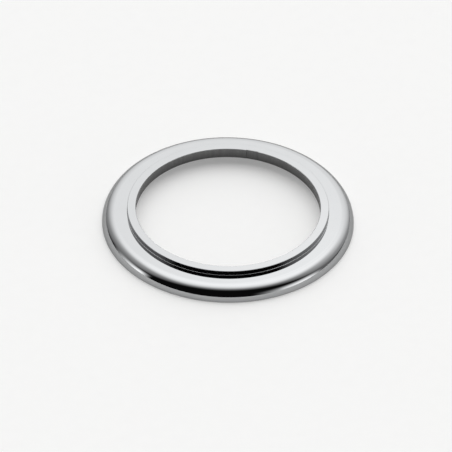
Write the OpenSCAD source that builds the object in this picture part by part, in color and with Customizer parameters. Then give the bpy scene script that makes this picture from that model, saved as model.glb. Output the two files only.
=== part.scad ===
// Tap rosette: a one-piece polished ring that covers the hole round the foot of a tap.
// It stands on its foot in the XY plane, with the bore along +Z.
// The origin is the centre of the foot's plane, and sizes are in millimetres.

/* [Flange] */
// Outside diameter of the ring
flange_d = 60; // [56:0.5:80]
// Height of the flat flange face above the foot
flange_h = 3.5; // [3.4:0.1:6]
// Radius of the rounded rim, from the flat face round to the upright foot
rim_r = 3.15; // [2:0.05:3.3]
// Thickness of the flange plate, the rim and the foot
wall_t = 1.4; // [0.8:0.1:1.6]

/* [Collar] */
// Outside diameter of the raised collar
collar_d = 48; // [46:0.5:49]
// Height of the collar above the flange face
collar_h = 1.2; // [0.6:0.1:4]
// Diameter of the bore that the tap body stands in
bore_d = 44; // [36:0.5:45]

/* [Edges] */
// Rounding of the collar's outer upper edge
collar_edge_r = 0.12; // [0.05:0.01:0.2]
// Rounding of the bore's upper edge
bore_edge_r = 0.15; // [0.05:0.01:0.2]
// Rounding of the bore's lower edge
bore_foot_edge_r = 0.1; // [0.05:0.01:0.2]
// Hollow corner where the collar rises from the flange face
collar_root_r = 0.1; // [0.05:0.01:0.15]
// Rounding of the foot's outer edge
foot_edge_r = 0.15; // [0.05:0.01:0.25]

/* [Gate flat] */
// Width of the flat ground on the bore wall where the casting gate was trimmed
gate_w = 3; // [1:0.1:5]
// Depth of the gate flat at the top of the bore wall
gate_top_depth = 0.2; // [0.15:0.01:0.35]
// Depth of the gate flat at the bottom of the bore wall
gate_foot_depth = 0.06; // [0.05:0.01:0.15]
// Angle of the gate flat about the bore, from +Y towards +X
gate_angle = 14.8; // [0:0.1:359]

/* [Hidden] */
$fn = 180;
chrome_color = [0.8, 0.81, 0.82];
// Each cutter runs this far past the face that it cuts
over = 1;
flange_r = flange_d / 2;
collar_r = collar_d / 2;
bore_r = bore_d / 2;
top_z = flange_h + collar_h;
plate_z = flange_h - wall_t;
// The rounded rim and its hollow turn about one centre
rim_centre_r = flange_r - rim_r;
rim_centre_z = flange_h - rim_r;

// Quarter disc in the corner of the section's first quadrant
module quarter_disc(radius) {
    intersection() {
        circle(radius);
        square(radius);
    }
}

// Corner waste outside an edge rounding, for an edge at the origin with its solid in the first quadrant
module edge_waste(radius) {
    difference() {
        translate([-over, -over]) square(radius + over);
        translate([radius, radius]) circle(radius);
    }
}

// Filling of a hollow corner at the origin, with the open space in the first quadrant
module corner_filling(radius) {
    difference() {
        square(radius);
        translate([radius, radius]) circle(radius);
    }
}

// Block of the section from one radius to another, from the foot's plane up
module block(inner, outer, height) {
    translate([inner, 0]) square([outer - inner, height]);
}

// What shows from above: flange, rounded rim, upright foot and raised collar
module top_form() {
    block(bore_r, rim_centre_r, flange_h);
    translate([rim_centre_r, rim_centre_z]) quarter_disc(rim_r);
    block(rim_centre_r, flange_r, rim_centre_z);
    block(bore_r, collar_r, top_z);
    translate([collar_r, flange_h]) corner_filling(collar_root_r);
}

// The hollow underside, one wall thickness inside the top form
module recess() {
    hollow_r = rim_r - wall_t;
    translate([bore_r - over, -over]) square([rim_centre_r - bore_r + over, plate_z + over]);
    translate([rim_centre_r, rim_centre_z]) quarter_disc(hollow_r);
    translate([rim_centre_r, -over]) square([hollow_r, rim_centre_z + over]);
}

// Roundings of the edges that a hand or a tap body touches
module edge_roundings() {
    translate([bore_r, top_z]) mirror([0, 1]) edge_waste(bore_edge_r);
    translate([collar_r, top_z]) mirror([1, 0]) mirror([0, 1]) edge_waste(collar_edge_r);
    translate([bore_r, plate_z]) edge_waste(bore_foot_edge_r);
    translate([flange_r, 0]) mirror([1, 0]) edge_waste(foot_edge_r);
}

// Section of the ring, with the radius along X and the height along Y
module section() {
    difference() {
        top_form();
        recess();
        edge_roundings();
    }
}

// Wedge that grinds the gate flat, deeper at the top of the bore wall than at its bottom
module gate_cutter() {
    slope = (gate_top_depth - gate_foot_depth) / (top_z - plate_z);
    rotate([0, 0, -gate_angle])
        rotate([90, 0, 90])
            linear_extrude(height = gate_w, center = true)
                polygon([
                    [bore_r - over, plate_z - over],
                    [bore_r + gate_foot_depth - slope * over, plate_z - over],
                    [bore_r + gate_top_depth + slope * over, top_z + over],
                    [bore_r - over, top_z + over]
                ]);
}

module rosette() {
    color(chrome_color)
        difference() {
            rotate_extrude() section();
            gate_cutter();
        }
}

rosette();
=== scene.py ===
"""Dresses the tap rosette: one polished chrome ring, the floor under it, its light and its camera.

The classes hold sizes in millimetres in the part's own frame. Meshes are made in metres.
"""

import logging
import math
from dataclasses import dataclass
from enum import Enum

import bpy
import numpy as np
from mathutils import Matrix, Vector


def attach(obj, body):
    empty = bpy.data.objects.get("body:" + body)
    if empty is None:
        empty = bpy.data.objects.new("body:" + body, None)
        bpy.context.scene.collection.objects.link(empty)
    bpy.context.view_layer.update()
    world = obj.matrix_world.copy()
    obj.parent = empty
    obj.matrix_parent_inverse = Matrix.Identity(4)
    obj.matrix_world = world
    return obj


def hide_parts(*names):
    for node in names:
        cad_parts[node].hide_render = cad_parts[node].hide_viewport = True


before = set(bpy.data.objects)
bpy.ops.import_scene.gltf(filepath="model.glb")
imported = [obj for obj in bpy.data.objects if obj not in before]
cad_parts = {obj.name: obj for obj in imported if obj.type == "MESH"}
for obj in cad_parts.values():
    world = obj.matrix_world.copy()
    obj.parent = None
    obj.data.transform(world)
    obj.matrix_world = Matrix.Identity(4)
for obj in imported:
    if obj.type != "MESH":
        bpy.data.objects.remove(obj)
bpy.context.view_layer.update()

LOG = logging.getLogger("rosette")
MM = 0.001
PICTURE_PIXELS = 452
SENSOR_MM = 36.0


# Small tools


def linear(code: str) -> tuple[float, float, float, float]:
    """Turns an sRGB hex colour into Blender's linear one.

    Args:
        code: Six hex digits after a hash, such as "#C0C0C0".

    Returns:
        Red, green, blue and an alpha of one.
    """
    parts = [int(code[i : i + 2], 16) / 255 for i in (1, 3, 5)]
    low, high = [p / 12.92 for p in parts], [((p + 0.055) / 1.055) ** 2.4 for p in parts]
    return (*(a if p <= 0.04045 else b for p, a, b in zip(parts, low, high)), 1.0)


def add_node(tree: bpy.types.NodeTree, kind: str, inputs: dict | None = None, **settings) -> bpy.types.Node:
    """Adds one node with its settings, its values and its links.

    Args:
        tree: The node tree that the node goes into.
        kind: Blender's name for the kind of node.
        inputs: Socket names or numbers, each with a value or with another node's output.
        **settings: Properties of the node itself, such as operation="ADD".

    Returns:
        The new node.
    """
    node = tree.nodes.new(kind)
    for name, value in settings.items():
        setattr(node, name, value)
    for name, value in (inputs or {}).items():
        if isinstance(value, bpy.types.NodeSocket):
            tree.links.new(value, node.inputs[name])
        else:
            node.inputs[name].default_value = value
    return node


def new_material(name: str) -> bpy.types.Material:
    """Makes an empty node material.

    Args:
        name: The material's name.

    Returns:
        The material, with no nodes in it.
    """
    material = bpy.data.materials.new(name)
    material.use_nodes = True
    material.node_tree.nodes.clear()
    return material


def spin_coordinates(tree: bpy.types.NodeTree) -> dict[str, bpy.types.NodeSocket]:
    """Adds the coordinates that a pattern running round the ring is drawn in.

    Args:
        tree: The material's node tree.

    Returns:
        The sockets "place" in millimetres, "heading" as a unit vector away from the axis, "radius" and
        "height" in millimetres.
    """
    place = add_node(tree, "ShaderNodeTexCoord").outputs["Object"]
    in_mm = add_node(tree, "ShaderNodeVectorMath", {0: place, "Scale": 1 / MM}, operation="SCALE").outputs[0]
    flat = add_node(tree, "ShaderNodeVectorMath", {0: in_mm, 1: (1, 1, 0)}, operation="MULTIPLY").outputs[0]
    return {
        "place": in_mm,
        "heading": add_node(tree, "ShaderNodeVectorMath", {0: flat}, operation="NORMALIZE").outputs[0],
        "radius": add_node(tree, "ShaderNodeVectorMath", {0: flat}, operation="LENGTH").outputs["Value"],
        "height": add_node(tree, "ShaderNodeSeparateXYZ", {0: in_mm}).outputs["Z"],
    }


# Finishes


@dataclass(frozen=True)
class PolishedChromePlate:
    """Bright chromium plate, electroplated on a buffed zinc casting.

    It gives the eye a clear mirror with a faintly cool grey in it. The buffing wheel ran round the ring, so the
    mirror is a little softer in fine lines along the edge, and it waves slightly, as a hand-held part does.
    """

    bright: str = "#A5A6A7"
    deep: str = "#A2A3A4"
    # Chromium mirrors less near grazing than the usual curve says
    edge: str = "#CFCFCF"
    roughness: float = 0.02
    line_roughness: float = 0.02
    # Buffing grit leaves lines about 0.02 mm wide; they are drawn 0.25 mm wide so that they show at all
    line_mm: float = 0.25
    line_turn_mm: float = 9.0
    wave_mm: float = 5.0
    wave_height_mm: float = 0.0012

    def make(self) -> bpy.types.Material:
        """Builds the material.

        Returns:
            The finished material.
        """
        material = new_material("polished_chrome_plate_buffed")
        tree = material.node_tree
        spin = spin_coordinates(tree)
        # Stretched round the ring: slow along the heading, quick across the radius and the height
        slow = add_node(
            tree, "ShaderNodeVectorMath", {0: spin["heading"], "Scale": 27 / self.line_turn_mm}, operation="SCALE"
        ).outputs[0]
        across = add_node(
            tree, "ShaderNodeMath", {0: spin["radius"], 1: 1 / self.line_mm}, operation="MULTIPLY"
        ).outputs[0]
        down = add_node(
            tree, "ShaderNodeMath", {0: spin["height"], 1: 1 / self.line_mm}, operation="MULTIPLY"
        ).outputs[0]
        lift = add_node(tree, "ShaderNodeCombineXYZ", {"Z": across}).outputs[0]
        along = add_node(tree, "ShaderNodeVectorMath", {0: slow, 1: lift}, operation="ADD").outputs[0]
        lines = add_node(
            tree,
            "ShaderNodeTexNoise",
            {"Vector": along, "W": down, "Scale": 1.0, "Detail": 2.0},
            noise_dimensions="4D",
        ).outputs["Fac"]
        wave = add_node(
            tree, "ShaderNodeTexNoise", {"Vector": spin["place"], "Scale": 1 / self.wave_mm, "Detail": 1.0}
        ).outputs["Fac"]
        tone = add_node(
            tree,
            "ShaderNodeMix",
            {"Factor": wave, 6: linear(self.deep), 7: linear(self.bright)},
            data_type="RGBA",
        ).outputs[2]
        rough = add_node(
            tree,
            "ShaderNodeMapRange",
            {
                "Value": lines,
                "From Min": 0.3,
                "From Max": 0.7,
                "To Min": self.roughness,
                "To Max": self.roughness + self.line_roughness,
            },
        ).outputs[0]
        bump = add_node(
            tree, "ShaderNodeBump", {"Height": wave, "Strength": 1.0, "Distance": self.wave_height_mm * MM}
        ).outputs[0]
        shader = add_node(
            tree,
            "ShaderNodeBsdfPrincipled",
            {
                "Base Color": tone,
                "Metallic": 1.0,
                "Roughness": rough,
                "Normal": bump,
                "Specular Tint": linear(self.edge),
            },
        ).outputs[0]
        add_node(tree, "ShaderNodeOutputMaterial", {"Surface": shader})
        return material


@dataclass(frozen=True)
class DullChromePaintedReflectionAndShade:
    """Thin chromium plate on the casting's own skin, where no buffing wheel reached.

    Plate throws poorly into a bore and an underside, so it is dull there: the grain of the casting
    shows through, with faint upright marks left by the core as it was drawn out. Its dark grey is a painted
    reflection of a dark grey table, and its darkening towards the bottom of the bore is painted shade.
    """

    # Both greys are a painted reflection of a dark grey table; the darker, lower grey is painted shade
    top: str = "#717171"
    foot: str = "#4E4E4E"
    roughness: float = 0.42
    grain_mm: float = 0.35
    grain_height_mm: float = 0.004
    draw_mark_mm: float = 0.6

    def make(self) -> bpy.types.Material:
        """Builds the material.

        Returns:
            The finished material.
        """
        material = new_material("dull_chrome_painted_reflection_and_shade")
        tree = material.node_tree
        spin = spin_coordinates(tree)
        grain = add_node(
            tree, "ShaderNodeTexNoise", {"Vector": spin["place"], "Scale": 1 / self.grain_mm, "Detail": 3.0}
        ).outputs["Fac"]
        turned = add_node(
            tree, "ShaderNodeVectorMath", {0: spin["heading"], "Scale": 22 / self.draw_mark_mm}, operation="SCALE"
        ).outputs[0]
        marks = add_node(
            tree, "ShaderNodeTexNoise", {"Vector": turned, "Scale": 1.0, "Detail": 2.0}
        ).outputs["Fac"]
        # Painted shade: the colour darkens from the top of the bore down to its bottom, and stays darkest on the
        # underside
        climb = add_node(
            tree, "ShaderNodeMapRange", {"Value": spin["height"], "From Min": 2.1, "From Max": 4.6}
        ).outputs[0]
        tone = add_node(
            tree,
            "ShaderNodeMix",
            {"Factor": climb, 6: linear(self.foot), 7: linear(self.top)},
            data_type="RGBA",
        ).outputs[2]
        mottle = add_node(
            tree, "ShaderNodeMath", {0: grain, 1: marks}, operation="MULTIPLY"
        ).outputs[0]
        shade = add_node(
            tree,
            "ShaderNodeMapRange",
            {"Value": mottle, "From Min": 0.1, "From Max": 0.4, "To Min": 0.88, "To Max": 1.12},
        ).outputs[0]
        colour = add_node(
            tree, "ShaderNodeVectorMath", {0: tone, "Scale": shade}, operation="SCALE"
        ).outputs[0]
        rough = add_node(
            tree,
            "ShaderNodeMapRange",
            {"Value": grain, "From Min": 0.3, "From Max": 0.7, "To Min": self.roughness, "To Max": self.roughness + 0.1},
        ).outputs[0]
        bump = add_node(
            tree, "ShaderNodeBump", {"Height": mottle, "Strength": 1.0, "Distance": self.grain_height_mm * MM}
        ).outputs[0]
        shader = add_node(
            tree,
            "ShaderNodeBsdfPrincipled",
            {"Base Color": colour, "Metallic": 1.0, "Roughness": rough, "Normal": bump},
        ).outputs[0]
        add_node(tree, "ShaderNodeOutputMaterial", {"Surface": shader})
        return material


@dataclass(frozen=True)
class MattWhiteBoard:
    """Uncoated white board: paper pulp pressed flat, with no gloss.

    It gives the eye an even pale ground. A share of it is shown as plain white to the camera and to the
    mirrors alike, and the rest is lit, so the ring's shadow stays on it.
    """

    white: str = "#F8F8F7"
    shaded: str = "#F4F4F3"
    own_white: float = 0.3
    fibre_mm: float = 3.0

    def make(self) -> bpy.types.Material:
        """Builds the material.

        Returns:
            The finished material.
        """
        material = new_material("matt_white_board")
        tree = material.node_tree
        place = add_node(tree, "ShaderNodeTexCoord").outputs["Object"]
        fibre = add_node(
            tree, "ShaderNodeTexNoise", {"Vector": place, "Scale": 1 / (self.fibre_mm * MM), "Detail": 3.0}
        ).outputs["Fac"]
        tone = add_node(
            tree,
            "ShaderNodeMix",
            {"Factor": fibre, 6: linear(self.shaded), 7: linear(self.white)},
            data_type="RGBA",
        ).outputs[2]
        lit = add_node(tree, "ShaderNodeBsdfDiffuse", {"Color": tone}).outputs[0]
        own = add_node(tree, "ShaderNodeEmission", {"Strength": 1.0}).outputs[0]
        path = add_node(tree, "ShaderNodeLightPath").outputs
        seen = path["Is Camera Ray"]
        for other in ("Is Glossy Ray", "Is Transmission Ray"):
            seen = add_node(tree, "ShaderNodeMath", {0: seen, 1: path[other]}, operation="MAXIMUM").outputs[0]
        share = add_node(tree, "ShaderNodeMath", {0: seen, 1: self.own_white}, operation="MULTIPLY").outputs[0]
        shader = add_node(tree, "ShaderNodeMixShader", {0: share, 1: lit, 2: own}).outputs[0]
        add_node(tree, "ShaderNodeOutputMaterial", {"Surface": shader})
        return material


# The ring


class Zone(Enum):
    """Which finish a stretch of the ring's skin has, as the number of its material slot."""

    POLISHED = 0
    # The bore and the underside: dull metal whose dark grey is a painted reflection and painted shade
    DULL_PAINTED_DARK = 1


@dataclass(frozen=True)
class Stretch:
    """One straight or round stretch of the ring's section.

    Attributes:
        points: Radius and height of each sample, in order along the section.
        normals: The skin's direction at each sample.
        zone: The finish of the skin that the stretch sweeps.
        ground: True if the gate flat cuts it.
    """

    points: np.ndarray
    normals: np.ndarray
    zone: Zone
    ground: bool = False


def straight(start: tuple[float, float], end: tuple[float, float], zone: Zone, steps: int = 1) -> Stretch:
    """Makes a straight stretch, with the skin on the left of its travel.

    Args:
        start: Radius and height where it starts.
        end: Radius and height where it ends.
        zone: Its finish.
        steps: How many facets it has.

    Returns:
        The stretch.
    """
    share = np.linspace(0, 1, steps + 1)[:, None]
    travel = np.subtract(end, start) / math.dist(start, end)
    points = (1 - share) * np.array(start) + share * np.array(end)
    return Stretch(points, np.tile((-travel[1], travel[0]), (steps + 1, 1)), zone)


def rounded(centre: tuple[float, float], radius: float, start: float, end: float, zone: Zone, steps: int) -> Stretch:
    """Makes a round stretch. One that runs clockwise is an outer rounding, and the other way a hollow.

    Args:
        centre: Radius and height of its centre.
        radius: Its own radius.
        start: Angle where it starts, in degrees.
        end: Angle where it ends, in degrees.
        zone: Its finish.
        steps: How many facets it has.

    Returns:
        The stretch.
    """
    angle = np.radians(np.linspace(start, end, steps + 1))
    spoke = np.stack((np.cos(angle), np.sin(angle)), axis=1)
    return Stretch(np.array(centre) + radius * spoke, spoke * (1 if end < start else -1), zone)


@dataclass
class Rosette:
    """The cover ring: a flat flange with a rounded rim, a low collar, a plain bore and a hollow underside."""

    flange_r: float = 30.0
    flange_h: float = 3.5
    rim_r: float = 3.15
    wall_t: float = 1.4
    collar_r: float = 24.0
    collar_h: float = 1.2
    bore_r: float = 22.0
    collar_edge_r: float = 0.12
    bore_edge_r: float = 0.15
    bore_foot_edge_r: float = 0.1
    collar_root_r: float = 0.1
    foot_edge_r: float = 0.15
    foot_inner_edge_r: float = 0.08
    gate_w: float = 3.0
    gate_top_depth: float = 0.2
    gate_foot_depth: float = 0.06
    gate_angle: float = 14.8
    columns: int = 600
    # The gate flat's sides lean by this much, as a ground step does
    gate_side: float = 0.04

    def section(self) -> list[Stretch]:
        """Draws the ring's section as one closed line, from the bore's upper edge outwards and back inside.

        Returns:
            The stretches in order.
        """
        top = self.flange_h + self.collar_h
        plate = self.flange_h - self.wall_t
        centre = (self.flange_r - self.rim_r, self.flange_h - self.rim_r)
        hollow = self.rim_r - self.wall_t
        bright, dull = Zone.POLISHED, Zone.DULL_PAINTED_DARK
        small = 6
        line = [
            rounded((self.bore_r + self.bore_edge_r, top - self.bore_edge_r), self.bore_edge_r, 180, 90, bright, small),
            straight((self.bore_r + self.bore_edge_r, top), (self.collar_r - self.collar_edge_r, top), bright, 4),
            rounded(
                (self.collar_r - self.collar_edge_r, top - self.collar_edge_r), self.collar_edge_r, 90, 0, bright, small
            ),
            straight(
                (self.collar_r, top - self.collar_edge_r),
                (self.collar_r, self.flange_h + self.collar_root_r),
                bright,
                2,
            ),
            rounded(
                (self.collar_r + self.collar_root_r, self.flange_h + self.collar_root_r),
                self.collar_root_r,
                180,
                270,
                bright,
                small,
            ),
            straight((self.collar_r + self.collar_root_r, self.flange_h), (centre[0], self.flange_h), bright, 6),
            rounded(centre, self.rim_r, 90, 0, bright, 36),
            straight((self.flange_r, centre[1]), (self.flange_r, self.foot_edge_r), bright),
            rounded((self.flange_r - self.foot_edge_r, self.foot_edge_r), self.foot_edge_r, 0, -90, bright, small),
            straight((self.flange_r - self.foot_edge_r, 0), (centre[0] + hollow + self.foot_inner_edge_r, 0), dull, 2),
            rounded(
                (centre[0] + hollow + self.foot_inner_edge_r, self.foot_inner_edge_r),
                self.foot_inner_edge_r,
                -90,
                -180,
                dull,
                3,
            ),
            straight((centre[0] + hollow, self.foot_inner_edge_r), (centre[0] + hollow, centre[1]), dull),
            rounded(centre, hollow, 0, 90, dull, 14),
            straight((centre[0], plate), (self.bore_r + self.bore_foot_edge_r, plate), dull, 5),
            rounded(
                (self.bore_r + self.bore_foot_edge_r, plate + self.bore_foot_edge_r),
                self.bore_foot_edge_r,
                -90,
                -180,
                dull,
                4,
            ),
            straight((self.bore_r, plate + self.bore_foot_edge_r), (self.bore_r, top - self.bore_edge_r), dull, 6),
        ]
        ground = (0, len(line) - 2, len(line) - 1)
        return [
            Stretch(s.points, s.normals, s.zone, index in ground) for index, s in enumerate(line)
        ]

    def angles(self) -> tuple[np.ndarray, np.ndarray]:
        """Lays out the columns round the ring, with two close pairs at the sides of the gate flat.

        Returns:
            The angle of each column from +X, and whether it crosses the gate flat.
        """
        middle = math.radians(90 - self.gate_angle)
        half = math.asin(self.gate_w / 2 / self.bore_r)
        lean = self.gate_side / self.bore_r
        even = np.arange(self.columns) * 2 * math.pi / self.columns
        sides = middle + np.array([-half, lean - half, half - lean, half])
        clear = np.min(np.abs(even[:, None] - sides), axis=1) > 2 * lean
        angles = np.sort(np.concatenate((even[clear], sides)))
        return angles, np.abs(angles - middle) < half - lean / 2

    def mesh(self) -> bpy.types.Mesh:
        """Sweeps the section round the axis, with the gate flat ground into the bore.

        Returns:
            The ring's mesh, in metres, with its finishes and its exact skin directions.
        """
        line = self.section()
        angles, on_flat = self.angles()
        turn = np.stack((np.cos(angles), np.sin(angles)), axis=1)
        samples, faces, zones, ways, cut = [], [], [], [], []
        for stretch in line:
            first = len(samples)
            count = len(stretch.points)
            for step in range(count - 1):
                samples.append(stretch.points[step])
                faces.append(first + step)
                zones.append(stretch.zone.value)
                ways.append((stretch.normals[step], stretch.normals[step + 1]))
                cut.append(stretch.ground)
        rows, round_about = len(samples), len(angles)
        radius = np.repeat(np.array(samples)[:, 0:1], round_about, axis=1)
        height = np.repeat(np.array(samples)[:, 1:2], round_about, axis=1)
        # A row belongs to the bore if a ground stretch touches it
        in_bore = np.array(cut) | np.roll(np.array(cut), 1)
        plate, top = self.flange_h - self.wall_t, self.flange_h + self.collar_h
        slope = (self.gate_top_depth - self.gate_foot_depth) / (top - plate)
        depth = self.bore_r + self.gate_foot_depth + slope * (height - plate)
        reach = depth / np.cos(angles - math.radians(90 - self.gate_angle))
        worked = in_bore[:, None] & on_flat[None, :] & (reach > radius)
        radius = np.where(worked, reach, radius)
        corners = np.stack((radius * turn[:, 0], radius * turn[:, 1], height), axis=2).reshape(-1, 3) * MM
        quads, normals, slots = [], [], []
        for row in range(rows):
            below = (row + 1) % rows
            for column in range(round_about):
                beside = (column + 1) % round_about
                quad = [
                    row * round_about + column,
                    below * round_about + column,
                    below * round_about + beside,
                    row * round_about + beside,
                ]
                quads.append(quad)
                slots.append(zones[row])
                touched = cut[row] and any(worked.flat[i] for i in quad)
                if touched:
                    a, b, c, d = corners[quad]
                    way = np.cross(c - a, d - b)
                    normals += [way / np.linalg.norm(way)] * 4
                else:
                    start, end = ways[row]
                    for way, at in ((start, column), (end, column), (end, beside), (start, beside)):
                        normals.append((way[0] * turn[at, 0], way[0] * turn[at, 1], way[1]))
        mesh = bpy.data.meshes.new("rosette_ring")
        mesh.from_pydata(corners.tolist(), [], quads)
        mesh.polygons.foreach_set("material_index", slots)
        mesh.polygons.foreach_set("use_smooth", [True] * len(quads))
        mesh.normals_split_custom_set([tuple(float(x) for x in n) for n in normals])
        mesh.update()
        return mesh

    def make(self) -> bpy.types.Object:
        """Builds the ring, dresses it and lets it stand for its CAD node.

        Returns:
            The ring's object.
        """
        ring = bpy.data.objects.new("rosette_ring", self.mesh())
        bpy.context.scene.collection.objects.link(ring)
        for finish in (PolishedChromePlate(), DullChromePaintedReflectionAndShade()):
            ring.data.materials.append(finish.make())
        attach(ring, "root")
        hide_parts("rosette")
        return ring


# The studio


@dataclass
class Floor:
    """A round board that the ring lies on. Its edge turns up into a low backdrop all round."""

    flat_r: float = 2250.0
    bend_r: float = 120.0
    drop: float = 0.004
    columns: int = 192

    def make(self) -> bpy.types.Object:
        """Builds the floor.

        Returns:
            The floor's object.
        """
        bend = np.radians(np.linspace(-90, -8, 16))
        radius = [40.0, 200.0, 800.0, *(self.flat_r + self.bend_r * np.cos(bend))]
        height = [-self.drop] * 3 + list(self.bend_r * (1 + np.sin(bend)) - self.drop)
        turn = np.arange(self.columns) * 2 * math.pi / self.columns
        points = [(0.0, 0.0, -self.drop * MM)]
        points += [(r * MM * math.cos(a), r * MM * math.sin(a), z * MM) for r, z in zip(radius, height) for a in turn]
        faces = [(0, 1 + i, 1 + (i + 1) % self.columns) for i in range(self.columns)]
        for ring in range(len(radius) - 1):
            start = 1 + ring * self.columns
            for i in range(self.columns):
                beside = (i + 1) % self.columns
                faces.append((start + i, start + self.columns + i, start + self.columns + beside, start + beside))
        mesh = bpy.data.meshes.new("floor")
        mesh.from_pydata(points, [], faces)
        mesh.polygons.foreach_set("use_smooth", [True] * len(faces))
        mesh.materials.append(MattWhiteBoard().make())
        mesh.update()
        floor = bpy.data.objects.new("floor", mesh)
        bpy.context.scene.collection.objects.link(floor)
        return floor


@dataclass(frozen=True)
class SoftPanel:
    """A lit panel far away, drawn in the world, with soft edges.

    Its edges are given as slopes away from its middle: 1 is 45 degrees to the side.

    Attributes:
        name: What it is.
        strength: Its brightness, where 1 lights white to white.
        azimuth: Where its middle is, in degrees from +Y towards +X.
        elevation: Height of its middle above the horizon, in degrees.
        left: Its left edge.
        right: Its right edge.
        bottom: Its lower edge.
        top: Its upper edge.
        soft: Width of its soft left, right, bottom and top edges.
    """

    name: str
    strength: float
    azimuth: float
    elevation: float
    left: float
    right: float
    bottom: float
    top: float
    soft: tuple[float, float, float, float]

    def glow(self, tree: bpy.types.NodeTree, way: bpy.types.NodeSocket) -> bpy.types.NodeSocket:
        """Adds the panel's nodes to the world.

        Args:
            tree: The world's node tree.
            way: The direction that is looked in.

        Returns:
            The socket with the panel's brightness in that direction.
        """
        azimuth, elevation = math.radians(self.azimuth), math.radians(self.elevation)
        ahead = Vector(
            (math.cos(elevation) * math.sin(azimuth), math.cos(elevation) * math.cos(azimuth), math.sin(elevation))
        )
        right = Vector((math.cos(azimuth), -math.sin(azimuth), 0))
        up = right.cross(ahead)
        facing, across, climb = (
            add_node(tree, "ShaderNodeVectorMath", {0: way, 1: axis}, operation="DOT_PRODUCT").outputs["Value"]
            for axis in (ahead, right, up)
        )
        level = add_node(tree, "ShaderNodeMath", {0: facing, 1: 0.001}, operation="GREATER_THAN").outputs[0]
        edges = zip((across, across, climb, climb), (self.left, self.right, self.bottom, self.top), self.soft)
        for number, (reach, edge, soft) in enumerate(edges):
            slope = add_node(tree, "ShaderNodeMath", {0: reach, 1: facing}, operation="DIVIDE").outputs[0]
            fade = add_node(
                tree,
                "ShaderNodeMapRange",
                {
                    "Value": slope,
                    "From Min": edge - soft / 2,
                    "From Max": edge + soft / 2,
                    "To Min": number % 2,
                    "To Max": 1 - number % 2,
                },
                interpolation_type="SMOOTHSTEP",
            ).outputs[0]
            level = add_node(tree, "ShaderNodeMath", {0: level, 1: fade}, operation="MULTIPLY").outputs[0]
        return add_node(tree, "ShaderNodeMath", {0: level, 1: self.strength}, operation="MULTIPLY").outputs[0]


@dataclass
class Studio:
    """Soft light from one big sheet overhead and behind, and a small panel low on each side of the camera."""

    scale: float = 1.5
    room: float = 0.0052

    def panels(self) -> tuple[SoftPanel, ...]:
        """Lists the panels."""
        return (
            SoftPanel("sheet", 0.81, 0, 66.6, -0.66, 1.114, -9.0, 0.156, (1.272, 1.762, 1.0, 1.283)),
            SoftPanel("wash", 0.405, 0, 60.0, -1.989, 3.0, -9.0, 1.171, (2.5, 2.5, 1.0, 1.5)),
            SoftPanel("top", 0.702, 0, 66.6, -0.566, 0.619, -0.235, 0.649, (0.546, 0.601, 0.923, 0.769)),
            SoftPanel("left_panel", 2.0, -97.0, 0, -0.176, 0.181, -9.0, 0.353, (0.246, 0.893, 1.0, 0.445)),
            SoftPanel("right_panel", 1.461, 130.0, 0, -0.559, 0.145, -9.0, 0.326, (0.413, 0.876, 1.0, 0.685)),
            SoftPanel("right_fade", 0.28, 118.0, 0, -0.745, 0.283, -9.0, 0.388, (2.5, 0.144, 1.0, 0.232)),
        )

    def make(self) -> bpy.types.World:
        """Builds the world that lights the ring.

        Returns:
            The world.
        """
        world = bpy.data.worlds.new("studio")
        world.use_nodes = True
        tree = world.node_tree
        tree.nodes.clear()
        way = add_node(tree, "ShaderNodeTexCoord").outputs["Generated"]
        total = self.room
        for panel in self.panels():
            glow = panel.glow(tree, way)
            total = add_node(tree, "ShaderNodeMath", {0: glow, 1: total}, operation="ADD").outputs[0]
            LOG.info("light %s", panel.name)
        light = add_node(tree, "ShaderNodeBackground", {"Color": total, "Strength": self.scale}).outputs[0]
        add_node(tree, "ShaderNodeOutputWorld", {"Surface": light})
        bpy.context.scene.world = world
        return world


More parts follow.
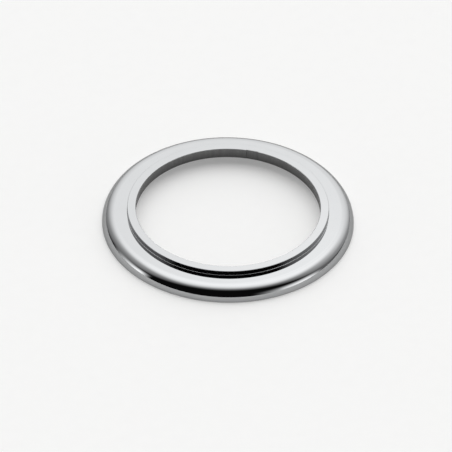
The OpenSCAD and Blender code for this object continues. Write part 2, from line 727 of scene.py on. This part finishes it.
@dataclass
class HotSpot:
    """The soft bright middle of a lamp behind the sheet, close enough to grade the flange from side to side.

    It only adds light: what lies behind it shows through, as through silk.
    """

    middle: tuple[float, float, float] = (24.0, 152.3, 162.1)
    radius: float = 60.0
    strength: float = 0.26
    rings: int = 6
    columns: int = 48

    def finish(self) -> bpy.types.Material:
        """Builds the silk's material, bright in the middle and fading out to the edge.

        Returns:
            The finished material.
        """
        material = new_material("silk_hot_spot")
        tree = material.node_tree
        place = add_node(tree, "ShaderNodeTexCoord").outputs["Object"]
        far = add_node(tree, "ShaderNodeVectorMath", {0: place}, operation="LENGTH").outputs["Value"]
        fade = add_node(
            tree,
            "ShaderNodeMapRange",
            {"Value": far, "From Max": self.radius * MM, "To Min": self.strength, "To Max": 0.0},
            interpolation_type="SMOOTHSTEP",
        ).outputs[0]
        glow = add_node(tree, "ShaderNodeEmission", {"Strength": fade}).outputs[0]
        clear = add_node(tree, "ShaderNodeBsdfTransparent").outputs[0]
        both = add_node(tree, "ShaderNodeAddShader", {0: glow, 1: clear}).outputs[0]
        add_node(tree, "ShaderNodeOutputMaterial", {"Surface": both})
        return material

    def make(self) -> bpy.types.Object:
        """Builds the hot spot as a disc that faces the ring.

        Returns:
            The disc's object.
        """
        turn = np.arange(self.columns) * 2 * math.pi / self.columns
        radii = np.linspace(0, self.radius, self.rings + 1)[1:]
        points = [(0.0, 0.0, 0.0)]
        points += [(r * MM * math.cos(a), r * MM * math.sin(a), 0.0) for r in radii for a in turn]
        faces = [(0, 1 + i, 1 + (i + 1) % self.columns) for i in range(self.columns)]
        for ring in range(self.rings - 1):
            start = 1 + ring * self.columns
            for i in range(self.columns):
                beside = (i + 1) % self.columns
                faces.append((start + i, start + self.columns + i, start + self.columns + beside, start + beside))
        mesh = bpy.data.meshes.new("hot_spot")
        mesh.from_pydata(points, [], faces)
        mesh.materials.append(self.finish())
        mesh.update()
        spot = bpy.data.objects.new("hot_spot", mesh)
        middle = Vector(self.middle) * MM
        spot.matrix_world = Matrix.Translation(middle) @ middle.to_track_quat("Z", "Y").to_matrix().to_4x4()
        bpy.context.scene.collection.objects.link(spot)
        spot.visible_camera = False
        return spot


@dataclass
class PhotoCamera:
    """A long lens above the front of the ring, turned and shifted a little as the photograph's is."""

    distance: float = 2000.0
    elevation: float = 39.372
    roll: float = 0.0131
    pixels_per_mm: float = 4.1965
    aside: float = -0.455
    down: float = -0.914

    def make(self) -> bpy.types.Object:
        """Builds the camera and makes it the scene's own.

        Returns:
            The camera's object.
        """
        tilt = math.radians(self.elevation)
        back = Vector((0, -math.cos(tilt), math.sin(tilt)))
        right, up = Vector((1, 0, 0)), Vector((0, math.sin(tilt), math.cos(tilt)))
        side = math.cos(self.roll) * right + math.sin(self.roll) * up
        rise = math.cos(self.roll) * up - math.sin(self.roll) * right
        data = bpy.data.cameras.new("photo_camera")
        data.sensor_width = SENSOR_MM
        data.lens = self.pixels_per_mm * self.distance * SENSOR_MM / PICTURE_PIXELS
        data.clip_start, data.clip_end = 0.1, 10.0
        camera = bpy.data.objects.new("photo_camera", data)
        place = (self.distance * back + self.aside * side + self.down * rise) * MM
        camera.matrix_world = Matrix.Translation(place) @ Matrix((side, rise, back)).transposed().to_4x4()
        bpy.context.scene.collection.objects.link(camera)
        bpy.context.scene.camera = camera
        return camera


def main() -> None:
    """Builds the camera, the light, the floor and the ring, and logs what it made."""
    logging.basicConfig(level=logging.INFO, format="%(name)s: %(message)s")
    bpy.context.scene.view_settings.view_transform = "Standard"
    for maker in (PhotoCamera(), Studio(), HotSpot(), Floor(), Rosette()):
        made = maker.make()
        LOG.info("made %s", made.name)


if __name__ == "__main__":
    main()
